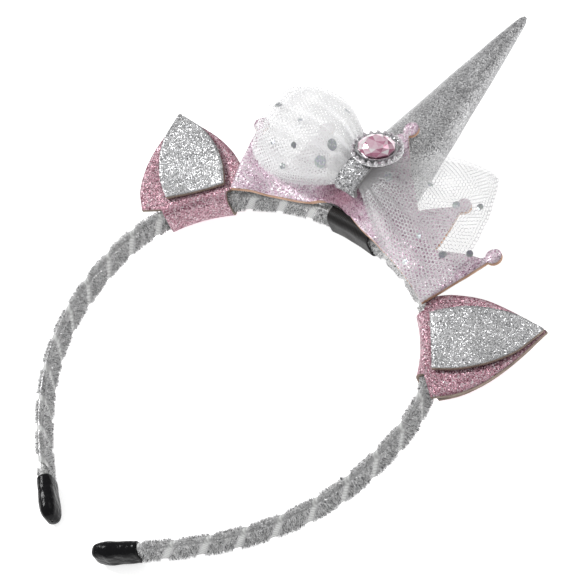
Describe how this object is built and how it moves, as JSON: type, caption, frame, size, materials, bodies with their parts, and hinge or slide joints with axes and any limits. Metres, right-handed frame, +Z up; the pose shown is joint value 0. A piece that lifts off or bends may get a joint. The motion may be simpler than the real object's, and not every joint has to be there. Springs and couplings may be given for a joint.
{
  "type": "unicorn horn headband",
  "caption": "Costume headband wound in silver tinsel, with a silver glitter horn, two ears, a glitter crown and a dotted tulle bow with a pink gem.",
  "frame": {"origin": "centre of the bounding box at the table, with the headband lying on its back", "axes": "+X across the head towards the ear at the right of the picture, +Y from the two end caps towards the horn's tip, +Z up from the table, through the headband's front"},
  "size_m": [0.1492, 0.2116, 0.033],
  "materials": {
    "satin": "pale ribbed satin",
    "tinsel": "silver tinsel tape",
    "rubber": "glossy black",
    "pink_leather": "pink glitter",
    "silver_leather": "silver glitter",
    "chunky_pink": "chunky lilac-pink glitter",
    "coarse_silver": "coarse silver glitter",
    "tulle": "white net with foil dots",
    "pink_glass": "clear pink, faceted",
    "bright_metal": "bright silver",
    "clear_stone": "clear, faceted",
    "black_satin": "black satin"
  },
  "bodies": {
    "root": {"band_strip": "satin", "tinsel_wrap": "tinsel", "end_cap_left": "rubber", "end_cap_right": "rubber", "ear_outer_left": "pink_leather", "ear_outer_right": "pink_leather", "ear_inner_left": "silver_leather", "ear_inner_right": "silver_leather", "crown": "chunky_pink", "horn": "silver_leather", "bow_loop_left": "tulle", "bow_loop_right": "tulle", "bow_knot": "coarse_silver", "gem_setting": "bright_metal", "gem_stone": "pink_glass", "rhinestone_ring": "clear_stone", "label": "black_satin"}
  },
  "joints": []
}
